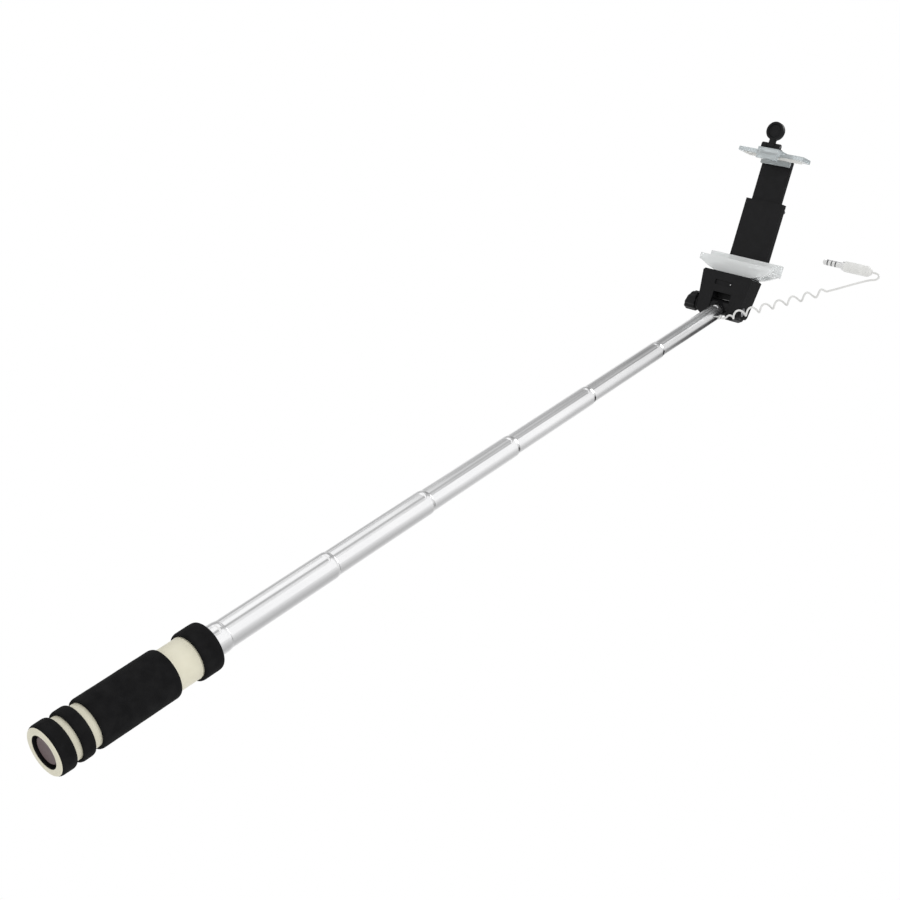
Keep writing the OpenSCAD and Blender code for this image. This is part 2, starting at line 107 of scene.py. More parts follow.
def low(node):
    """Lowest corner of a CAD node in millimetres."""
    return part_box(node)[0] / MM


def high(node):
    """Highest corner of a CAD node in millimetres."""
    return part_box(node)[1] / MM


# ---- Materials ----


def new_material(name, colour, roughness, metallic=0.0, **sockets):
    """A Principled material; sockets are set by name, with _ for a space."""
    material = bpy.data.materials.new(name)
    material.use_nodes = True
    shader = material.node_tree.nodes["Principled BSDF"]
    shader.inputs["Base Color"].default_value = (*colour, 1)
    shader.inputs["Roughness"].default_value = roughness
    shader.inputs["Metallic"].default_value = metallic
    for socket, value in sockets.items():
        shader.inputs[socket.replace("_", " ")].default_value = value
    return material


def texture(material, kind, scale, stretch=(1, 1, 1), detail=3.0):
    """A noise or cell texture in the piece's own coordinates; scale is in features per millimetre."""
    nodes, links = material.node_tree.nodes, material.node_tree.links
    place = nodes.new("ShaderNodeTexCoord")
    mapping = nodes.new("ShaderNodeMapping")
    mapping.inputs["Scale"].default_value = [s * scale / MM for s in stretch]
    links.new(place.outputs["Object"], mapping.inputs["Vector"])
    if kind == "cells":
        made = nodes.new("ShaderNodeTexVoronoi")
        output = made.outputs["Distance"]
    else:
        made = nodes.new("ShaderNodeTexNoise")
        made.inputs["Detail"].default_value = detail
        output = made.outputs[0]
    made.inputs["Scale"].default_value = 1.0
    links.new(mapping.outputs["Vector"], made.inputs["Vector"])
    return output


def ramp(material, value, stops):
    """Colours that follow a texture's value; stops are (place, colour)."""
    nodes, links = material.node_tree.nodes, material.node_tree.links
    made = nodes.new("ShaderNodeValToRGB")
    elements = made.color_ramp.elements
    while len(elements) < len(stops):
        elements.new(0.5)
    for element, (place, colour) in zip(elements, stops):
        element.position = place
        element.color = (*colour, 1)
    links.new(value, made.inputs["Fac"])
    return made.outputs["Color"]


def vary_colour(material, value, stops):
    shader = material.node_tree.nodes["Principled BSDF"]
    material.node_tree.links.new(ramp(material, value, stops), shader.inputs["Base Color"])


def vary_roughness(material, value, lowest, highest):
    nodes, links = material.node_tree.nodes, material.node_tree.links
    spread = nodes.new("ShaderNodeMapRange")
    spread.inputs["From Min"].default_value = 0.3
    spread.inputs["From Max"].default_value = 0.7
    spread.inputs["To Min"].default_value = lowest
    spread.inputs["To Max"].default_value = highest
    links.new(value, spread.inputs["Value"])
    links.new(spread.outputs["Result"], nodes["Principled BSDF"].inputs["Roughness"])


def bump(material, value, strength, height):
    """Raises the surface by height millimetres where value is 1, on top of any earlier bump."""
    nodes, links = material.node_tree.nodes, material.node_tree.links
    made = nodes.new("ShaderNodeBump")
    made.inputs["Strength"].default_value = strength
    made.inputs["Distance"].default_value = height * MM
    links.new(value, made.inputs["Height"])
    normal = nodes["Principled BSDF"].inputs["Normal"]
    if normal.is_linked:
        links.new(normal.links[0].from_socket, made.inputs["Normal"])
    links.new(made.outputs["Normal"], normal)


def foam_material():
    """Closed-cell foam: matte, with fine pores and a slightly worn, greyer skin in places."""
    made = new_material("foam", (0.006, 0.006, 0.006), 0.9, Specular_IOR_Level=0.12)
    wear = texture(made, "noise", 0.18, detail=5)
    vary_colour(made, wear, [(0.35, (0.0045, 0.0045, 0.005)), (0.7, (0.009, 0.009, 0.0095))])
    bump(made, texture(made, "cells", 3.2), 0.5, 0.12)
    bump(made, texture(made, "noise", 1.1, detail=6), 0.45, 0.16)
    return made


def cream_material():
    """Satin ivory moulding with a faint mottle."""
    made = new_material("cream", (0.7, 0.67, 0.53), 0.38, Coat_Weight=0.12, Coat_Roughness=0.3)
    cloud = texture(made, "noise", 0.12, detail=4)
    vary_colour(made, cloud, [(0.3, (0.68, 0.65, 0.51)), (0.7, (0.74, 0.71, 0.57))])
    vary_roughness(made, texture(made, "noise", 0.6), 0.33, 0.46)
    bump(made, texture(made, "noise", 2.5), 0.12, 0.03)
    return made


def chrome_material():
    """Satin-polished chrome: drawing lines along the tube and soft smudges."""
    made = new_material("chrome", (0.93, 0.93, 0.935), 0.16, 1.0)
    lines = texture(made, "noise", 1.6, stretch=(1, 1, 0.01), detail=1)
    vary_roughness(made, texture(made, "noise", 0.1, stretch=(1, 1, 0.35), detail=5), 0.12, 0.22)
    vary_colour(made, texture(made, "noise", 0.2, stretch=(1, 1, 0.1)),
                [(0.3, (0.9, 0.9, 0.91)), (0.7, (0.96, 0.96, 0.965))])
    bump(made, lines, 0.04, 0.004)
    return made


def black_material(name, colour, lowest, highest, grain):
    """Moulded black plastic with a fine spark-eroded grain and paler rubbed patches."""
    made = new_material(name, colour, highest, Specular_IOR_Level=0.2)
    rubbed = [c * 1.6 for c in colour]
    vary_colour(made, texture(made, "noise", 0.22, detail=6), [(0.35, colour), (0.75, rubbed)])
    vary_roughness(made, texture(made, "noise", 0.9, detail=5), lowest, highest)
    bump(made, texture(made, "cells", 4.0), 0.25, grain)
    return made


def clear_material(name, colour, roughness, transmission):
    """Clear acrylic with flow marks inside its gloss."""
    made = new_material(name, colour, roughness, Transmission_Weight=transmission, IOR=1.49, Coat_Weight=0.3,
                        Coat_Roughness=0.05)
    vary_roughness(made, texture(made, "noise", 0.12, stretch=(0.4, 1, 1)), roughness, roughness + 0.08)
    bump(made, texture(made, "noise", 0.1, stretch=(0.3, 1, 1)), 0.1, 0.05)
    return made


def steel_material(name, colour, stretch):
    """Zinc-plated steel with turning or drawing marks."""
    made = new_material(name, colour, 0.3, 1.0)
    vary_roughness(made, texture(made, "noise", 1.4, stretch=stretch, detail=5), 0.22, 0.42)
    bump(made, texture(made, "noise", 6.0, stretch=stretch), 0.2, 0.01)
    return made


def soft_material(name, colour, roughness, **sockets):
    """Rubber, silicone or jacket: an even colour with a slight cloud and a soft skin."""
    made = new_material(name, colour, roughness, **sockets)
    paler = [min(1.0, c * 1.06) for c in colour]
    darker = [c * 0.93 for c in colour]
    vary_colour(made, texture(made, "noise", 0.3, detail=4), [(0.3, darker), (0.7, paler)])
    vary_roughness(made, texture(made, "noise", 1.5), roughness - 0.06, roughness + 0.08)
    bump(made, texture(made, "noise", 3.0), 0.12, 0.03)
    return made


def board_material():
    """Green solder mask with faint tracks under it."""
    made = new_material("board", (0.02, 0.16, 0.05), 0.35, Coat_Weight=0.4)
    tracks = texture(made, "cells", 0.9)
    vary_colour(made, tracks, [(0.45, (0.015, 0.12, 0.04)), (0.5, (0.04, 0.24, 0.08))])
    bump(made, tracks, 0.3, 0.04)
    return made


FOAM = foam_material()
CREAM = cream_material()
CHROME = chrome_material()
BLACK = black_material("black_plastic", (0.0045, 0.0045, 0.0052), 0.4, 0.55, 0.03)
GLOSS_BLACK = black_material("gloss_black", (0.004, 0.004, 0.0045), 0.28, 0.42, 0.012)
CLEAR = clear_material("clear_plastic", (0.93, 0.95, 0.955), 0.18, 0.3)
SMOKED = clear_material("smoked_plastic", (0.7, 0.75, 0.77), 0.1, 0.5)
STEEL = steel_material("steel", (0.6, 0.6, 0.62), (1, 1, 1))
WIRE = steel_material("spring_wire", (0.5, 0.5, 0.52), (1, 1, 0.2))
NYLON = soft_material("nylon", (0.78, 0.76, 0.7), 0.45, Subsurface_Weight=0.1, Subsurface_Scale=0.001)
BUTTON = soft_material("button_grey", (0.12, 0.085, 0.09), 0.42, Specular_IOR_Level=0.25)
SILICONE = soft_material("silicone", (0.74, 0.74, 0.72), 0.6, Sheen_Weight=0.1)
JACKET = soft_material("lead_white", (0.74, 0.74, 0.73), 0.42, Coat_Weight=0.1)
PLUG = soft_material("plug_white", (0.78, 0.78, 0.765), 0.32, Coat_Weight=0.3)
BOARD = board_material()
JACK = steel_material("jack_metal", (0.8, 0.8, 0.8), (0.15, 1, 1))
INSULATOR = soft_material("insulator", (0.02, 0.02, 0.022), 0.4)


# ---- Mesh tools ----


def finish_mesh(name, mesh, material, body, nodes=(), sharp=38):
    """Puts a mesh in the scene as a piece that rides on a body and stands for CAD nodes."""
    for polygon in mesh.polygons:
        polygon.use_smooth = True
    mesh.set_sharp_from_angle(angle=math.radians(sharp))
    if material is not None:
        mesh.materials.append(material)
    piece = bpy.data.objects.new(name, mesh)
    bpy.context.scene.collection.objects.link(piece)
    if body is not None:
        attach(piece, body)
    if nodes:
        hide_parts(*nodes)
    return piece


def mesh_from(name, points, faces, place):
    """A mesh from points in millimetres, moved to the row frame, with its faces turned outward."""
    mesh = bpy.data.meshes.new(name)
    mesh.from_pydata([place @ Vector(p) for p in points], [], faces)
    shape = bmesh.new()
    shape.from_mesh(mesh)
    bmesh.ops.recalc_face_normals(shape, faces=shape.faces)
    shape.to_mesh(mesh)
    shape.free()
    return mesh


def joined(name, meshes):
    """One mesh from several."""
    shape = bmesh.new()
    for mesh in meshes:
        shape.from_mesh(mesh)
    made = bpy.data.meshes.new(name)
    shape.to_mesh(made)
    shape.free()
    return made


def round_corners(points, radius, steps=5, closed=True):
    """The outline with each corner turned into a short curve."""
    made = []
    count = len(points)
    for i, corner in enumerate(points):
        if not closed and i in (0, count - 1):
            made.append(tuple(corner))
            continue
        corner = Vector(corner)
        before, after = Vector(points[i - 1]) - corner, Vector(points[(i + 1) % count]) - corner
        r = min(radius, before.length * 0.49, after.length * 0.49)
        start, end = corner + before.normalized() * r, corner + after.normalized() * r
        for step in range(steps + 1):
            t = step / steps
            made.append(tuple((1 - t) ** 2 * start + 2 * t * (1 - t) * corner + t * t * end))
    return made


def grid_mesh(name, rows, place, closed_rows=True, caps=False):
    """A mesh over rings of points; every ring is closed, and closed_rows joins the last to the first."""
    count = len(rows[0])
    points = [p for row in rows for p in row]
    last = len(rows) if closed_rows else len(rows) - 1
    faces = []
    for i in range(last):
        a, b = i * count, ((i + 1) % len(rows)) * count
        for j in range(count):
            k = (j + 1) % count
            faces.append((a + j, a + k, b + k, b + j))
    if caps:
        faces.append(tuple(reversed(range(count))))
        faces.append(tuple(range((len(rows) - 1) * count, len(rows) * count)))
    return mesh_from(name, points, faces, place)


def lathe(name, profile, place, segments=96, shape=None):
    """Turns a closed outline of (radius, height) about Z.  shape(angle, radius, height) may move a point."""
    rows = []
    for radius, height in profile:
        row = []
        for j in range(segments):
            angle = math.tau * j / segments
            r, z = shape(angle, radius, height) if shape else (radius, height)
            row.append((r * math.cos(angle), r * math.sin(angle), z))
        rows.append(row)
    return grid_mesh(name, rows, place)


def turned(name, profile, place, segments=64):
    """Turns an open outline that starts and ends near the axis, with small flat caps there."""
    rows = [[(r * math.cos(math.tau * j / segments), r * math.sin(math.tau * j / segments), z)
             for j in range(segments)] for r, z in profile]
    return grid_mesh(name, rows, place, closed_rows=False, caps=True)


def frames_along(path):
    """A direction and two sideways directions at each point of a path, without twist."""
    points = [Vector(p) for p in path]
    ahead = []
    for i in range(len(points)):
        step = points[min(i + 1, len(points) - 1)] - points[max(i - 1, 0)]
        ahead.append(step.normalized())
    side = ahead[0].cross(Vector((0.13, 0.2, 0.97))).normalized()
    sides = []
    for direction in ahead:
        side = (side - direction * side.dot(direction)).normalized()
        sides.append((direction, side, direction.cross(side)))
    return sides


def sweep(name, path, radius, place, sides=10):
    """A round tube along a path, closed at both ends.  radius is a number or a function of the share."""
    rows = []
    for i, (point, (_, u, v)) in enumerate(zip(path, frames_along(path))):
        r = radius(i / (len(path) - 1)) if callable(radius) else radius
        rows.append([Vector(point) + r * (math.cos(math.tau * j / sides) * u + math.sin(math.tau * j / sides) * v)
                     for j in range(sides)])
    return grid_mesh(name, rows, place, closed_rows=False, caps=True)


def coil_points(start, end, radius, turns, per_turn=14, phase=0.0):
    """Points of a helix about the straight line from start to end."""
    start, end = Vector(start), Vector(end)
    axis = (end - start).normalized()
    u = axis.orthogonal().normalized()
    v = axis.cross(u)
    count = int(turns * per_turn)
    made = []
    for i in range(count + 1):
        t = i / count
        angle = phase + math.tau * turns * t
        made.append(start.lerp(end, t) + radius * (math.cos(angle) * u + math.sin(angle) * v))
    return made


def prism(name, outline, y0, y1, place, edge, segments=3):
    """An outline in X and Z, thickened from y0 to y1, with its front and back edges rounded."""
    count = len(outline)
    points = [(x, y, z) for y in (y0, y1) for x, z in outline]
    faces = [tuple(range(count)), tuple(reversed(range(count, 2 * count)))]
    faces += [(i, i + count, (i + 1) % count + count, (i + 1) % count) for i in range(count)]
    mesh = mesh_from(name, points, faces, Matrix.Identity(4))
    rounded(mesh, edge, segments, 50)
    mesh.transform(place)
    return mesh


def rounded(mesh, width, segments, angle):
    """Bevels each edge of a mesh that turns by more than angle."""
    shape = bmesh.new()
    shape.from_mesh(mesh)
    limit = math.radians(angle)
    edges = [e for e in shape.edges if e.is_manifold and e.calc_face_angle(0) > limit]
    bmesh.ops.bevel(shape, geom=edges, offset=width, segments=segments, profile=0.6, affect="EDGES",
                    clamp_overlap=True)
    bmesh.ops.recalc_face_normals(shape, faces=shape.faces)
    shape.to_mesh(mesh)
    shape.free()


def cad_mesh(node):
    """A welded copy of a CAD node's mesh with its flat faces made whole again."""
    mesh = frame["nodes"][node].data.copy()
    mesh.materials.clear()
    shape = bmesh.new()
    shape.from_mesh(mesh)
    bmesh.ops.remove_doubles(shape, verts=shape.verts, dist=2e-6)
    bmesh.ops.dissolve_limit(shape, angle_limit=math.radians(0.6), verts=shape.verts, edges=shape.edges)
    shape.to_mesh(mesh)
    shape.free()
    return mesh


def cut(mesh, cutters):
    """Takes the cutter meshes out of a mesh."""
    body = bpy.data.objects.new("cut_body", mesh)
    tool = bpy.data.objects.new("cut_tool", joined("cut_tool", cutters))
    for o in (body, tool):
        bpy.context.scene.collection.objects.link(o)
    step = body.modifiers.new("cut", "BOOLEAN")
    step.operation = "DIFFERENCE"
    step.solver = "EXACT"
    step.object = tool
    bpy.context.view_layer.update()
    made = bpy.data.meshes.new_from_object(body.evaluated_get(bpy.context.evaluated_depsgraph_get()))
    made.materials.clear()
    for o in (body, tool):
        bpy.data.objects.remove(o)
    return made


def block(low_corner, high_corner, place):
    """A plain box, used only as a cutter."""
    (x0, y0, z0), (x1, y1, z1) = low_corner, high_corner
    points = [(x, y, z) for x in (x0, x1) for y in (y0, y1) for z in (z0, z1)]
    faces = [(0, 1, 3, 2), (4, 6, 7, 5), (0, 4, 5, 1), (2, 3, 7, 6), (0, 2, 6, 4), (1, 5, 7, 3)]
    return mesh_from("block", points, faces, place)


def softened(node, material, width, segments=3, angle=30, cutters=(), name=None):
    """A CAD node's shape with its edges rounded as a moulding's or casting's are."""
    mesh = cad_mesh(node)
    if cutters:
        mesh = cut(mesh, cutters)
        shape = bmesh.new()
        shape.from_mesh(mesh)
        bmesh.ops.dissolve_limit(shape, angle_limit=math.radians(0.6), verts=shape.verts, edges=shape.edges)
        shape.to_mesh(mesh)
        shape.free()
    rounded(mesh, width * MM, segments, angle)
    body = frame["nodes"][node]["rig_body"]
    piece = finish_mesh(name or node + "_detail", mesh, material, body, [node])
    even = piece.modifiers.new("even shading", "WEIGHTED_NORMAL")
    even.keep_sharp = True
    return piece


# ---- Handle ----

LIP_R = high("handle_core").x
CORE_R = 10.4
CORE_LOW = low("handle_core").z
CORE_TOP = high("handle_core").z
BORE_R = high("switch_carrier").x
FOAM_R = high("grip_foam").x
BUTTON_FACE = low("shutter_button").z


def handle_core():
    """Cream tube with a crowned lip, a hole whose wall is painted black as painted shade in the recess, and moulded
    beads beside the foam.
    """
    hole_r, hole_top = 7.85, CORE_LOW + 2.6
    lip_top = low("end_ring_foam").z
    bead = 0.12
    neck_low, neck_high = high("grip_foam").z, low("collar_foam").z
    profile = [(hole_r + 0.35, CORE_LOW), (LIP_R - 0.5, CORE_LOW), (LIP_R, CORE_LOW + 0.45), (LIP_R - 0.05, lip_top),
               (CORE_R, lip_top)]
    for z in (neck_low + 0.5, neck_high - 0.5):
        profile += [(CORE_R, z - 0.35), (CORE_R + bead, z - 0.2), (CORE_R + bead, z + 0.2), (CORE_R, z + 0.35)]
    profile += [(CORE_R, CORE_TOP - 0.3), (CORE_R - 0.4, CORE_TOP), (BORE_R + 0.3, CORE_TOP), (BORE_R, CORE_TOP - 0.3)]
    profile += [(BORE_R, hole_top), (hole_r, hole_top), (hole_r, CORE_LOW + 0.4)]
    mesh = lathe("core", round_corners(profile, 0.3), IN_ROW, 128)
    mesh.materials.append(CREAM)
    mesh.materials.append(BLACK)
    # Faces inside the hole get the black material: painted shade, darkening the recess round the button.
    for polygon in mesh.polygons:
        middle = polygon.center / MM
        polygon.material_index = int(math.hypot(middle.x, middle.y) < hole_r + 0.15 and middle.z < hole_top)
    finish_mesh("handle_core_detail", mesh, None, "handle", ["handle_core"])


def foam_sleeve(node):
    """A foam sleeve: soft crowned ends and a slightly uneven skin."""
    z0, z1 = low(node).z, high(node).z
    crown = 1.15
    inside = CORE_R + 0.02
    skin = 0.05
    profile = [(inside, z0 + 0.1), (FOAM_R - 0.35, z0), (FOAM_R, z0 + crown)]
    steps = max(4, int((z1 - z0) / 1.1))
    profile += [(FOAM_R, z0 + crown + (z1 - z0 - 2 * crown) * i / steps) for i in range(1, steps)]
    profile += [(FOAM_R, z1 - crown), (FOAM_R - 0.35, z1), (inside, z1 - 0.1)]

    def uneven(angle, radius, height):
        if radius < inside + 0.3:
            return radius, height
        place = Vector((math.cos(angle) * 2.2, math.sin(angle) * 2.2, height * 0.22))
        pores = Vector((math.cos(angle) * 13, math.sin(angle) * 13, height * 1.2))
        return radius - skin + skin * noise.noise(place) + 0.4 * skin * noise.noise(pores), height

    mesh = lathe(node, round_corners(profile, 0.5, 4), IN_ROW, 160, uneven)
    piece = finish_mesh(node + "_detail", mesh, FOAM, "handle", [node], sharp=70)


def shutter_button():
    """Button with a dished face, its flange and its stem."""
    r = 6.8
    flange, flange_r = CORE_LOW + 2.65, 8.25
    top = high("shutter_button").z
    profile = [(0.05, BUTTON_FACE + 0.3), (3.6, BUTTON_FACE + 0.22), (5.4, BUTTON_FACE + 0.08),
               (r - 0.5, BUTTON_FACE), (r, BUTTON_FACE + 0.45), (r, flange), (flange_r, flange),
               (flange_r, flange + 1), (2.0, flange + 1), (2.0, top - 0.3), (1.7, top), (0.05, top)]
    mesh = turned("button", round_corners(profile, 0.16, 3, closed=False), IN_ROW, 96)
    mesh.materials.append(BUTTON)
    mesh.materials.append(BLACK)
    # Faces from just below the flange inwards, the flange and the stem, get the black material: painted shade in the
    # gap round the button.
    for polygon in mesh.polygons:
        polygon.material_index = int(polygon.center.z / MM > flange - 0.9)
    finish_mesh("shutter_button_detail", mesh, None, "button", ["shutter_button"])


def button_spring():
    """Compression coil with closed ends under the button's flange."""
    z0, z1 = low("button_spring").z, high("button_spring").z
    wire = 0.28
    points = []
    turns, per_turn = 4.5, 24
    for i in range(int(turns * per_turn) + 1):
        share = i / (turns * per_turn)
        rise = min(1.0, max(0.0, (share - 0.15) / 0.7))
        angle = math.tau * turns * share
        points.append((5.4 * math.cos(angle), 5.4 * math.sin(angle), z0 + wire + (z1 - z0 - 2 * wire) * rise))
    piece = finish_mesh("button_spring_wire", sweep("spring", points, wire, IN_ROW, 8), WIRE, "handle",
                        ["button_spring"], sharp=70)
    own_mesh(piece)


def handle():
    handle_core()
    for node in ("end_ring_foam", "second_ring_foam", "grip_foam", "collar_foam"):
        foam_sleeve(node)
    shutter_button()
    button_spring()
    softened("switch_carrier", BLACK, 0.2)
    softened("circuit_board", BOARD, 0.08)
    softened("tact_switch", GLOSS_BLACK, 0.2)
    softened("lower_ferrule", CREAM, 0.25)
    softened("upper_ferrule", CREAM, 0.25)


# ---- Pole ----

GROOVE_ANGLE = math.radians(-74)
GROOVE_HALF = math.radians(24)
GROOVE_DEPTH = 0.45
GROOVE_FADE = 0.035
GROOVE_EDGE = 0.8
GROOVE_CORNER = 1.9
GROOVE_END = 2.7
DIMPLE_ANGLE = math.radians(-38)
DIMPLE_DROP = 5.2
DIMPLE_DEPTH = 0.18
DIMPLE_HALF = 0.5
WALL = 0.3
TUBE_R = [high(f"tube_{k}").y for k in range(SECTIONS + 1)]


def smooth_step(t):
    t = min(1.0, max(0.0, t))
    return t * t * (3 - 2 * t)


def groove_depth(k, angle, below_top):
    """Depth of tube k's pressed anti-turn groove: straight sides, and a round end just below the rim."""
    radius = TUBE_R[k]
    off = abs((angle - GROOVE_ANGLE + math.pi) % math.tau - math.pi) * radius
    half = GROOVE_HALF * radius
    corner = min(GROOVE_CORNER, half * 0.8)
    across = max(0.0, off - (half - corner))
    along = max(0.0, corner - (below_top - GROOVE_END))
    inside = corner - math.hypot(across, along)
    return (GROOVE_DEPTH - GROOVE_FADE * k) * smooth_step(inside / GROOVE_EDGE)


def pole_angles():
    """Angles round a tube, close together across the groove."""
    fine, coarse = 64, 64
    reach = GROOVE_HALF * 1.35
    inside = [GROOVE_ANGLE - reach + 2 * reach * i / fine for i in range(fine)]
    outside = [GROOVE_ANGLE + reach + (math.tau - 2 * reach) * i / coarse for i in range(coarse)]
    return inside + outside


def tube_rows(z0, z1):
    """Heights along a tube, close together at the groove's end and the rim."""
    end = z1 - GROOVE_END
    rows = [z0 + (end - 3.2 - z0) * i / 9 for i in range(9)]
    rows += [end - 3.2 + 3.6 * i / 14 for i in range(15)]
    return rows


def rim_profile(k, z1):
    """Outside of the rim as (radius, height): rolled in to guide the next tube, or square on the last."""
    r = TUBE_R[k]
    if k == SECTIONS:
        return [(r, z1 - 0.5), (r - 0.05, z1 - 0.15), (r - WALL / 2, z1), (r - WALL, z1 - 0.15)]
    neck = TUBE_R[k + 1] + 0.05
    return [(r, z1 - 1.9), (r - 0.02, z1 - 1.6), (r - 0.1, z1 - 1.2), (r - 0.17, z1 - 0.8), (r - 0.2, z1 - 0.35),
            (r - 0.26, z1 - 0.1), (neck + 0.08, z1), (neck, z1 - 0.12), (neck, z1 - 1.2),
            (neck + 0.03, z1 - 1.7), (r - WALL, z1 - 2.2)]


def pole_tube(k):
    """A chromed tube with its groove, rolled rim and open foot, as one closed wall."""
    node = f"tube_{k}"
    z0, z1 = low(node).z, high(node).z
    r = TUBE_R[k]
    angles = pole_angles()
    body_rows = tube_rows(z0, z1)

    def ring(radius, z, depth_scale):
        row = []
        for angle in angles:
            here = radius - depth_scale * groove_depth(k, angle, z1 - z)
            if k == 0:
                aside = (angle - DIMPLE_ANGLE) * r / DIMPLE_HALF
                above = (z1 - DIMPLE_DROP - z) / DIMPLE_HALF
                here -= DIMPLE_DEPTH * math.exp(-aside ** 2 - above ** 2)
            row.append((here * math.cos(angle), here * math.sin(angle), z))
        return row

    if k == 0:
        body_rows += [z1 - DIMPLE_DROP + 0.25 * i for i in range(-4, 5)]
    body_rows = sorted(set(round(z, 4) for z in body_rows))
    rows = [ring(r, z, 1) for z in body_rows]
    rows += [ring(radius, z, 0) for radius, z in rim_profile(k, z1)]
    rows += [ring(r - WALL, z, 1) for z in reversed(body_rows)]
    mesh = grid_mesh(node, rows, IN_ROW)
    if k == SECTIONS:
        mesh = cut(mesh, [exit_cutter(1.2)])
    body = "handle" if k == 0 else f"section_{k}"
    finish_mesh(node + "_detail", mesh, CHROME, body, [node], sharp=42)


def exit_place():
    """Frame of the lead's hole: its Z points out of the last tube's side."""
    grommet = (low("lead_grommet") + high("lead_grommet")) / 2
    turn = math.atan2(grommet.y, grommet.x)
    return IN_ROW @ Matrix.Translation((0, 0, grommet.z)) @ Matrix.Rotation(turn, 4, "Z") @ ALONG_X


def exit_cutter(radius):
    return turned("hole", [(radius, 3.0), (radius, 7.0)], exit_place(), 32)


def foot_bush(k):
    """Nylon foot with sprung fingers, grooved like the tube that it slides in."""
    node = f"bush_{k}"
    z0, z1 = low(node).z, high(node).z
    plate = z0 + 1.5
    outside = TUBE_R[k - 1] - WALL - 0.06
    inside = TUBE_R[k] + 0.01
    hole = 3.0
    fingers = 8
    angles = pole_angles()
    profile = [(hole, z0), (outside - 0.25, z0), (outside, z0 + 0.3), (outside, plate), (outside, z1 - 1),
               (outside - 0.05, z1 - 0.3), (inside, z1), (inside, plate + 0.05), (hole, plate)]

    def row(radius, z):
        made = []
        for angle in angles:
            keep = smooth_step((radius - hole) / 1.2)
            r = radius - keep * groove_depth(k, angle, GROOVE_END * 4)
            if radius > inside + 0.02 and z > plate + 1:
                r -= 0.05 * (math.cos(fingers * angle) > 0.93)
            made.append((r * math.cos(angle), r * math.sin(angle), z))
        return made

    mesh = grid_mesh(node, [row(radius, z) for radius, z in profile], IN_ROW)
    finish_mesh(node + "_detail", mesh, NYLON, f"section_{k}", [node])


def inner_lead(k):
    """The stretch of coiled lead inside one section."""
    node = f"lead_{k}"
    z0, z1 = low(node).z, high(node).z
    wire = 0.6
    turns = max(4, round((z1 - z0) / 5.5))
    points = coil_points((0, 0, z0 + wire), (0, 0, z1 - wire), high(node).x - wire, turns, 16, k)
    body = "handle" if k == 0 else f"section_{k}"
    piece = finish_mesh(node + "_coil", sweep(node, points, wire, IN_ROW, 8), JACKET, body, [node],
                        sharp=70)
    if k < SECTIONS:
        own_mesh(piece)


def grommet():
    """Soft collar in the lead's hole, with a turned lip."""
    r = TUBE_R[SECTIONS]
    profile = round_corners([(0.62, r - 0.3), (1.15, r - 0.3), (1.15, r + 0.02), (1.7, r + 0.05), (1.65, r + 0.5),
                             (1.1, r + 0.8), (0.62, r + 0.8)], 0.15, 3)
    mesh = lathe("grommet", profile, exit_place(), 40)
    finish_mesh("lead_grommet_detail", mesh, JACKET, f"section_{SECTIONS}", ["lead_grommet"])


def pole():
    for k in range(SECTIONS + 1):
        pole_tube(k)
        inner_lead(k)
    for k in range(1, SECTIONS + 1):
        foot_bush(k)
    softened("hinge_knuckle", BLACK, 0.3)
    grommet()


# ---- Tilt hinge ----


def hinge_screw():
    """Clamp screw with a rolled thread at the nut's end."""
    x0, x1 = low("hinge_screw").x, high("hinge_screw").x
    r, pitch, depth = 1.5, 0.5, 0.14
    thread_from = 7.0
    segments, steps = 24, int((x1 - thread_from) / pitch * 8)
    heights = [x0 + 0.3, 0.0, thread_from - 0.2]
    heights += [thread_from + (x1 - 0.3 - thread_from) * i / steps for i in range(steps + 1)]

    def radius(height, angle):
        if height < thread_from:
            return r
        wave = (height / pitch - angle / math.tau) % 1.0
        return r - depth * abs(2 * wave - 1)

    rows = [[(0.8 * math.cos(math.tau * j / segments), 0.8 * math.sin(math.tau * j / segments), x0)
             for j in range(segments)]]
    for height in heights:
        rows.append([(radius(height, math.tau * j / segments) * math.cos(math.tau * j / segments),
                      radius(height, math.tau * j / segments) * math.sin(math.tau * j / segments), height)
                     for j in range(segments)])
    rows.append([(0.9 * math.cos(math.tau * j / segments), 0.9 * math.sin(math.tau * j / segments), x1)
                 for j in range(segments)])
    mesh = grid_mesh("screw", rows, IN_HEAD @ ALONG_X, closed_rows=False, caps=True)
    finish_mesh("hinge_screw_thread", mesh, STEEL, "knob", ["hinge_screw"], sharp=60)


def thumb_knob():
    """Ten-lobed thumb knob with a boss against the washer; its dished cap leans out towards the foot."""
    x1 = high("thumb_knob").x
    r, length = 6.2, 7.4
    lean = math.tan(math.radians(18))
    x0 = x1 - length
    rim = x1 - 1.8
    lobes = 10
    segments = 200
    profile = [(0.1, x0 + 0.5), (2.6, x0 + 0.45), (3.4, x0 + 0.15), (r - 1.3, x0), (r - 0.35, x0 + 0.25),
               (r, x0 + 0.9), (r, rim), (r - 0.3, x1 - 1.2), (r - 1.2, x1 - 1.0), (r - 2.0, x1 - 0.9),
               (r - 2.0, x1 - 0.2), (r - 2.2, x1), (1.55, x1)]
    rows = []
    for radius, height in round_corners(profile, 0.35, 3, closed=False):
        row = []
        for j in range(segments):
            angle = math.tau * j / segments
            scallop = 0.5 * (0.5 - 0.5 * math.cos(lobes * angle)) ** 1.6
            grip = smooth_step((radius - (r - 1.2)) / 0.9)
            rr = radius - scallop * grip
            # ALONG_X turns the row's X towards the foot
            stretch = 1 + lean * rr * math.cos(angle) / (rim - x0)
            place = rim + (height - rim) * stretch if height < rim else height
            row.append((rr * math.cos(angle), rr * math.sin(angle), place))
        rows.append(row)
    mesh = grid_mesh("knob", rows, IN_HEAD @ ALONG_X, closed_rows=False, caps=True)
    finish_mesh("thumb_knob_detail", mesh, GLOSS_BLACK, "knob", ["thumb_knob"], sharp=50)


def hinge():
    hinge_screw()
    thumb_knob()
    softened("hinge_nut", STEEL, 0.15)
    softened("knob_washer", STEEL, 0.1)


# ---- Phone holder ----


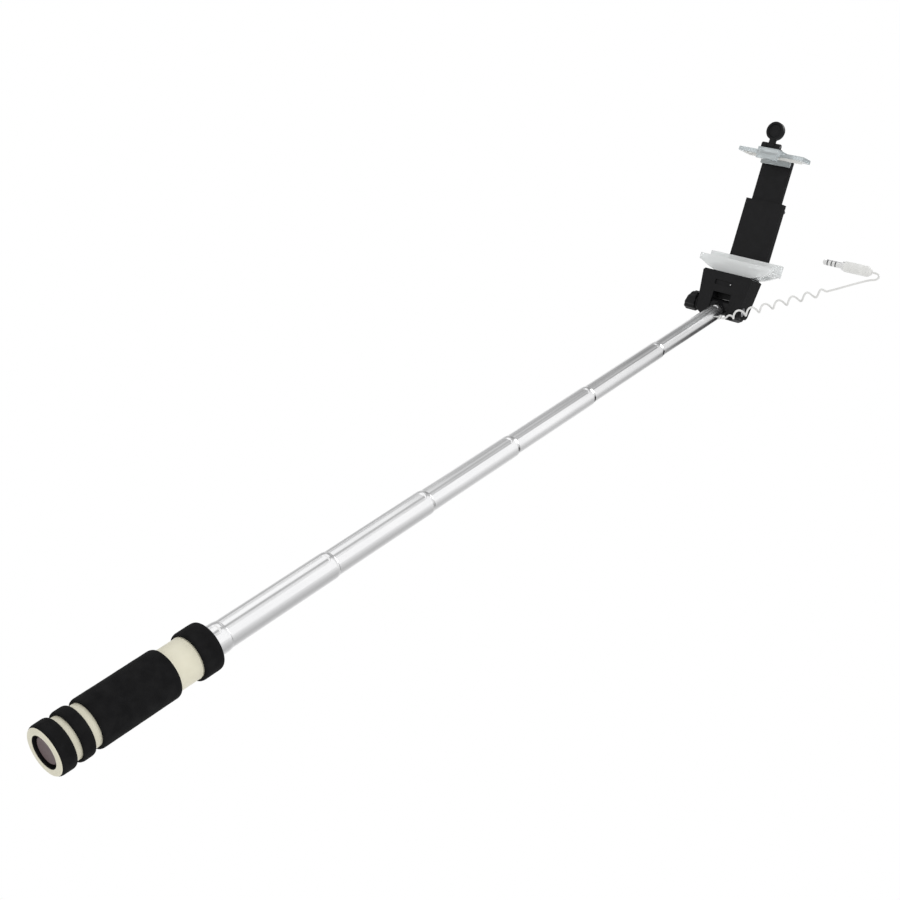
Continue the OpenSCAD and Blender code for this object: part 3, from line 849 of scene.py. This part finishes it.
def head_body():
    """The black body: front and rear shells, the slide's cover and the tiny pin in the front panel."""
    softened("front_shell", BLACK, 0.32)
    softened("rear_shell", BLACK, 0.28)
    ribs = [block((-8.5, 19.1, u), (8.5, 20.5, u + 0.8), IN_HEAD) for u in range(26, 62, 3)]
    softened("slide_cover", GLOSS_BLACK, 0.18, 2, cutters=ribs)
    for node in ("shell_screws", "cover_screws"):
        softened(node, STEEL, 0.06, 2)
    outline = round_corners([(0.02, -4.55), (0.42, -4.55), (0.42, -3.9), (0.02, -3.9)], 0.12, 3, closed=False)
    place = IN_HEAD @ Matrix.Translation((3.6, 0, 14.2)) @ ALONG_Y
    finish_mesh("panel_pin", turned("pin", outline, place, 24), STEEL, "head", sharp=50)


def ribbed_pad(node, y0, y1, u0, u1, half, body):
    """Soft pad with rounded ridges across the phone's edge; u0 is its seat and u1 its ridged face."""
    pitch = 1.6
    height = u1 - u0
    count = int(2 * half / pitch)
    pitch = 2 * half / count
    top = []
    for i in range(count * 8 + 1):
        x = -half + pitch * i / 8
        ridge = abs(math.sin(math.pi * (x + half) / pitch)) ** 0.6
        end = smooth_step((half - abs(x)) / 0.8)
        top.append((x, u0 + height * (0.35 + 0.65 * ridge) * max(0.25, end)))
    outline = [(-half, u0), *top, (half, u0)]
    mesh = prism(node, outline, y0, y1, IN_HEAD, 0.18, 2)
    finish_mesh(node + "_ridged", mesh, SILICONE, body, [node], sharp=50)


def clamp_springs():
    """Two close-wound tension springs with round eyes, drawn from the posts to the slide."""
    wire, coil_r, eye = 0.25, 0.75, 1.1
    back, anchor, hook = 16.4, 14.2, 41.6
    meshes = []
    for x in (-5, 5):
        loop = [(x + eye * math.sin(math.tau * i / 20), back, anchor - eye * math.cos(math.tau * i / 20))
                for i in range(2, 19)]
        coils = coil_points((x, back, anchor + 1.4), (x, back, hook - 1.4), coil_r, 34, 12)
        top = [(x + eye * math.sin(math.tau * i / 20), back, hook + eye * math.cos(math.tau * i / 20))
               for i in range(-9, 8)]
        meshes.append(sweep("spring", [*loop, *coils, *top], wire, IN_HEAD, 7))
    piece = finish_mesh("clamp_spring_wires", joined("springs", meshes), WIRE, None, ["clamp_springs"],
                        sharp=70)
    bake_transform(piece)


def flip_lever():
    """Round-ended lever: softened blade, and a face with turned rings set in one side of the disc."""
    softened("flip_lever", BLACK, 0.45, 4)
    centre = Matrix.Translation((0, 2, 111))
    rings = [(0.1, -0.95), (1.2, -1.0)]
    for r in (2.0, 2.9, 3.7):
        rings += [(r - 0.3, -0.95), (r, -1.12), (r + 0.3, -0.95)]
    rings += [(4.05, -0.8), (0.1, -0.8)]
    mesh = turned("face", rings, IN_HEAD @ centre @ ALONG_Y, 72)
    finish_mesh("lever_face_rings", mesh, BLACK, "lever", sharp=50)


def phone_holder():
    head_body()
    softened("lower_jaw", CLEAR, 0.3)
    ribbed_pad("lower_pad", 3, 12, 27.5, 28.5, 21, "head")
    softened("upper_jaw", SMOKED, 0.4)
    ribbed_pad("upper_pad", 4.4, 12, 96.5, 95.5, 18.6, "clamp")
    softened("jaw_slide", BLACK, 0.25)
    softened("slide_screws", STEEL, 0.06, 2)
    softened("spring_posts", STEEL, 0.12)
    clamp_springs()
    softened("lever_saddle", BLACK, 0.35)
    softened("lever_pin", STEEL, 0.15)
    flip_lever()


# ---- Jack lead ----

LEAD_D = 1.2
COIL_D = 5.3
LEAD_START = (5.7, 2.3, 454.5)
LEAD_CLEAR = (9.2, 0.7, 454.5)
COIL_ROUTE = [(11, -0.6, 454.5), (20, -4.6, 455.2), (28, -8, 457), (35, -11, 459), (42, -14, 461.2),
              (49, -17, 463.6), (55, -19.4, 466.2), (61, -21.6, 469.4), (67, -23.4, 473)]
TAIL_ROUTE = [(67, -23.4, 473), (70.5, -24.5, 475.6), (74, -25.7, 478.3), (77.5, -26.9, 480.9), (81, -28.1, 483.2),
              (84, -29.1, 485), (85.6, -29.6, 485.8), (87, -29.9, 486.2), (88.3, -30.1, 486.6),
              (89.2, -30.5, 487.4), (89.6, -31.1, 488.5), (89.2, -31.7, 489.6), (88.3, -32.1, 490.5),
              (87, -32.3, 490.8), (84, -32.3, 490.8)]
COIL_TURNS = 7.5


def through(points, per_span):
    """A smooth curve through the points, as Catmull-Rom."""
    pts = [Vector(p) for p in points]
    pts = [2 * pts[0] - pts[1], *pts, 2 * pts[-1] - pts[-2]]
    made = []
    for i in range(1, len(pts) - 2):
        p0, p1, p2, p3 = pts[i - 1:i + 3]
        for step in range(per_span):
            t = step / per_span
            made.append(0.5 * (2 * p1 + (p2 - p0) * t + (2 * p0 - 5 * p1 + 4 * p2 - p3) * t * t
                               + (3 * p1 - p0 - 3 * p2 + p3) * t ** 3))
    made.append(pts[-2])
    return made


def lead_path():
    """The lead from the grommet through its coils to the plug, one point after another."""
    middle = through([LEAD_START, (7.4, 1.9, 454.5), LEAD_CLEAR, *COIL_ROUTE, *TAIL_ROUTE[1:]], 24)
    lengths = [0.0]
    for a, b in zip(middle, middle[1:]):
        lengths.append(lengths[-1] + (b - a).length)

    def nearest(point):
        return lengths[min(range(len(middle)), key=lambda i: (middle[i] - Vector(point)).length)]

    first, last = nearest(LEAD_CLEAR), nearest(COIL_ROUTE[-1])
    swing = (COIL_D - LEAD_D) / 2
    path = []
    for point, run, (_, u, v) in zip(middle, lengths, frames_along(middle)):
        share = (run - first) / (last - first)
        grown = smooth_step(min(share, 1 - share) * COIL_TURNS / 0.6)
        angle = -math.tau * COIL_TURNS * share + math.radians(20)
        path.append(point + swing * grown * (math.cos(angle) * u + math.sin(angle) * v))
    return path


def jack_lead():
    path = lead_path()
    mesh = sweep("lead", path, LEAD_D / 2, IN_ROW, 12)
    piece = finish_mesh("jack_lead", mesh, JACKET, None, ["cord_start", "cord_coil", "cord_tail"],
                        sharp=80)
    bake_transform(piece)
    length = sum((b - a).length for a, b in zip(path, path[1:])) * MM
    return piece, path, length


def plug_pieces():
    """The white moulded plug and its four-contact jack."""
    rear, front = high("plug_body").x, low("plug_body").x
    centre = (low("plug_body") + high("plug_body")) / 2
    r = 3.2
    long = rear - front
    profile = [(0.55, 0.0), (1.5, 0.0), (1.9, 0.25), (2.25, 0.9), (2.25, 1.3), (r - 0.35, 1.5), (r - 0.1, 2.2),
               (r, 4.0), (r, 4.3), (r - 0.08, 4.4), (r - 0.08, 4.6), (r, 4.7), (r, long - 1.0), (r - 0.2, long - 0.3),
               (r - 0.6, long), (0.55, long)]
    place = IN_ROW @ Matrix.Translation((rear, centre.y, centre.z)) @ Matrix.Rotation(math.radians(-90), 4, "Y")
    body = finish_mesh("plug_body_detail", turned("plug", round_corners(profile, 0.25, 3, closed=False), place, 72),
                       PLUG, "head", ["plug_body"], sharp=50)
    tip = low("jack_plug").x
    jr = 1.75
    reach = front - tip
    shank = [(0.3, -0.05), (2.6, -0.05), (2.6, 1.1), (2.5, 1.2), (jr, 1.2), (jr, 4.9), (jr, 5.0)]
    rings = []
    for at in (5.0, 7.6, 10.2):
        rings += [(jr, at), (jr - 0.04, at + 0.05), (jr - 0.04, at + 0.65), (jr, at + 0.7)]
    point = [(jr, reach - 2.2), (jr - 0.45, reach - 1.75), (jr - 0.5, reach - 1.6), (jr - 0.1, reach - 1.2),
             (jr - 0.15, reach - 0.9), (jr - 0.8, reach - 0.25), (0.3, reach)]
    place = IN_ROW @ Matrix.Translation((front, centre.y, centre.z)) @ Matrix.Rotation(math.radians(-90), 4, "Y")
    mesh = turned("jack", [*shank, *rings, *point], place, 64)
    mesh.materials.append(JACK)
    mesh.materials.append(INSULATOR)
    for polygon in mesh.polygons:
        along = front - polygon.center.x / MM
        polygon.material_index = int(any(at < along < at + 0.7 for at in (5.0, 7.6, 10.2)))
    jack = finish_mesh("jack_plug_detail", mesh, None, "head", ["jack_plug"], sharp=35)
    return [body, jack]


# ---- Studio ----


def camera():
    """The photograph's viewing angle: from below the grip, looking up the pole."""
    eye = Vector((0.45064, -0.39433, -0.2656))
    right = Vector((0.7518, 0.07162, 0.65549))
    down = Vector((0.27985, 0.86545, -0.41553))
    data = bpy.data.cameras.new("camera")
    data.lens = 60
    data.sensor_width = 36
    data.clip_start = 0.01
    made = bpy.data.objects.new("camera", data)
    ahead = right.cross(down)
    turn = Matrix((right, -down, -ahead)).transposed()
    made.matrix_world = Matrix.Translation(eye) @ turn.to_4x4()
    bpy.context.scene.collection.objects.link(made)
    bpy.context.scene.camera = made


def aim(thing, place, target):
    thing.location = place
    thing.rotation_euler = (Vector(target) - Vector(place)).to_track_quat("-Z", "Y").to_euler()


MIDDLE = (CAD_LOW + CAD_HIGH) / 2


def around(azimuth, elevation, distance):
    """A place round the object; azimuth is counted from +X towards +Y, in degrees."""
    a, e = math.radians(azimuth), math.radians(elevation)
    return MIDDLE + distance * Vector((math.cos(a) * math.cos(e), math.sin(a) * math.cos(e), math.sin(e)))


def lamp(name, azimuth, elevation, distance, size, power):
    data = bpy.data.lights.new(name, "AREA")
    data.shape = "DISK"
    data.size = size
    data.energy = power
    made = bpy.data.objects.new(name, data)
    bpy.context.scene.collection.objects.link(made)
    aim(made, around(azimuth, elevation, distance), MIDDLE)


def tent_band(name, lowest, highest, stops):
    """A band of the light tent that only mirrors see; stops are (azimuth, brightness)."""
    across, up, distance = 96, 6, 2.6
    points, faces = [], []
    for i in range(up + 1):
        elevation = lowest + (highest - lowest) * i / up
        points += [around(360 * j / across, elevation, distance) - MIDDLE for j in range(across)]
    for i in range(up):
        for j in range(across):
            after = (j + 1) % across
            faces.append((i * across + j, i * across + after, (i + 1) * across + after, (i + 1) * across + j))
    mesh = bpy.data.meshes.new(name)
    mesh.from_pydata(points, [], faces)
    material = new_material(name, (0, 0, 0), 1.0, Specular_IOR_Level=0.0, Emission_Strength=1.0)
    nodes, links = material.node_tree.nodes, material.node_tree.links
    place = nodes.new("ShaderNodeTexCoord")
    turn = nodes.new("ShaderNodeTexGradient")
    turn.gradient_type = "RADIAL"
    links.new(place.outputs["Object"], turn.inputs["Vector"])
    greys = [((azimuth + 180) / 360, (grey, grey, grey)) for azimuth, grey in stops]
    colour = ramp(material, turn.outputs["Fac"], greys)
    colour.node.color_ramp.interpolation = "EASE"
    links.new(colour, nodes["Principled BSDF"].inputs["Emission Color"])
    mesh.materials.append(material)
    made = bpy.data.objects.new(name, mesh)
    made.location = MIDDLE
    bpy.context.scene.collection.objects.link(made)
    made.visible_camera = False
    made.visible_diffuse = False
    made.visible_transmission = False
    made.visible_shadow = False


def floor():
    """A wide pale floor, well below the object and the camera."""
    mesh = bpy.data.meshes.new("floor")
    size, drop = 6.0, 1.25
    z = CAD_LOW.z - drop
    mesh.from_pydata([(-size, -size, z), (size, -size, z), (size, size, z), (-size, size, z)], [], [(0, 1, 2, 3)])
    made = bpy.data.objects.new("floor", mesh)
    mesh.materials.append(new_material("floor", (0.8, 0.8, 0.79), 0.7))
    bpy.context.scene.collection.objects.link(made)


def studio():
    world = bpy.data.worlds.new("studio")
    bpy.context.scene.world = world
    world.use_nodes = True
    back = world.node_tree.nodes["Background"]
    back.inputs["Color"].default_value = (1.0, 1.0, 1.0, 1)
    back.inputs["Strength"].default_value = 1.0
    bpy.context.scene.view_settings.view_transform = "Standard"
    floor()
    lamp("key", -60, 75, 1.6, 0.9, 6)
    lamp("fill", -10, -20, 1.8, 1.2, 3)
    tent_band("foot band", 8, 36.5, [
        (-180, 0.6), (-165, 0.42), (-148, 0.5), (-132, 1.0), (-104, 1.0), (-92, 0.45), (-84, 0.45), (-72, 1.0),
        (-6, 1.0), (5, 0.78), (33, 0.57), (56, 0.48), (80, 0.55), (110, 0.8), (150, 0.9), (180, 0.6)])
    tent_band("middle band", 36.5, 46.2, [
        (-180, 0.8), (-165, 0.55), (-140, 0.4), (-110, 0.6), (-96, 0.45), (-84, 0.5), (-66, 0.9), (-45, 1.0),
        (0, 1.0), (16, 0.84), (33, 0.66), (56, 0.56), (80, 0.6), (110, 0.85), (150, 1.0), (180, 0.8)])
    tent_band("neck band", 46.2, 50.2, [
        (-180, 0.85), (-165, 0.56), (-141, 0.33), (-120, 0.27), (-104, 0.35), (-88, 0.45), (-58, 0.7), (-44, 0.82),
        (-15, 0.9), (0, 0.86), (16, 0.76), (33, 0.61), (56, 0.46), (80, 0.5), (110, 0.85), (180, 0.85)])
    tent_band("head band", 50.2, 76, [
        (-180, 0.85), (-165, 0.6), (-141, 0.34), (-120, 0.28), (-104, 0.36), (-88, 0.46), (-58, 0.66), (-44, 0.74),
        (-15, 0.76), (0, 0.72), (18, 0.6), (32, 0.2), (42, 0.01), (92, 0.01), (112, 0.6), (180, 0.85)])


camera()
lead, path, length = jack_lead()
plug = plug_pieces()
handle()
pole()
hinge()
phone_holder()
studio()
